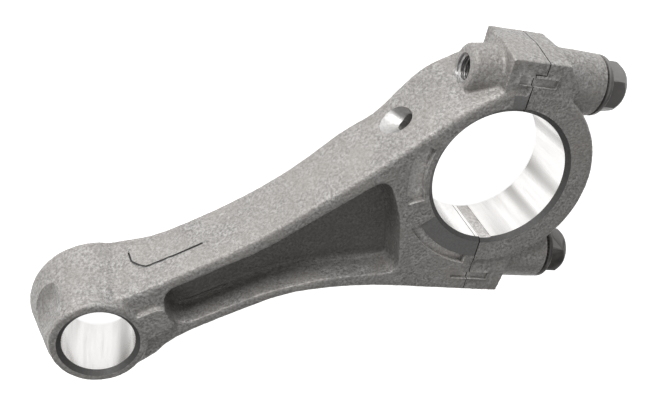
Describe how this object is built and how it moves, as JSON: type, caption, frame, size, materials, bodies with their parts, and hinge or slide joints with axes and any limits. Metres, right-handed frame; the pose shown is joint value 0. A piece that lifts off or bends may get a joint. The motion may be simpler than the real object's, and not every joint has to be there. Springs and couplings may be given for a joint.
{
  "type": "connecting rod",
  "caption": "Die-cast engine connecting rod whose big end is split at a slant, with a bearing cap held on by flange bolts.",
  "frame": {"origin": "bottom centre of the whole rod's bounding box, on the back faces, with the cap bolted up", "axes": "+Z along both bores from the back face to the front, +X along the rod from the small end to the big end, +Y across the beam towards the oil hole"},
  "size_m": [0.1392, 0.0632, 0.0172],
  "materials": {
    "cast_aluminium": "fine-grained as cast, with bright machined bores and joint faces",
    "black_steel": "black oxide with an oily sheen"
  },
  "bodies": {
    "rod": {"rod_body": "cast_aluminium"},
    "cap": {"big_end_cap": "cast_aluminium"},
    "upper_bolt": {"upper_cap_bolt": "black_steel"},
    "lower_bolt": {"lower_cap_bolt": "black_steel"}
  },
  "joints": [
    {"name": "cap_lift", "type": "slide", "parent": "rod", "child": "cap", "axis": [0.866, -0.5, 0], "range_m": [0, 0.008]},
    {"name": "upper_bolt_turn", "type": "hinge", "parent": "cap", "child": "upper_bolt", "pos_m": [0.04634, 0.02139, 0.008], "axis": [0.866, -0.5, 0], "range_deg": [0, 2880]},
    {"name": "lower_bolt_turn", "type": "hinge", "parent": "cap", "child": "lower_bolt", "pos_m": [0.02554, -0.01464, 0.008], "axis": [0.866, -0.5, 0], "range_deg": [0, 2880]}
  ],
  "couplings": [
    {"joint": "upper_bolt_turn", "follows": "cap_lift", "rad_per_m": 6283.2},
    {"joint": "lower_bolt_turn", "follows": "cap_lift", "rad_per_m": 6283.2}
  ]
}
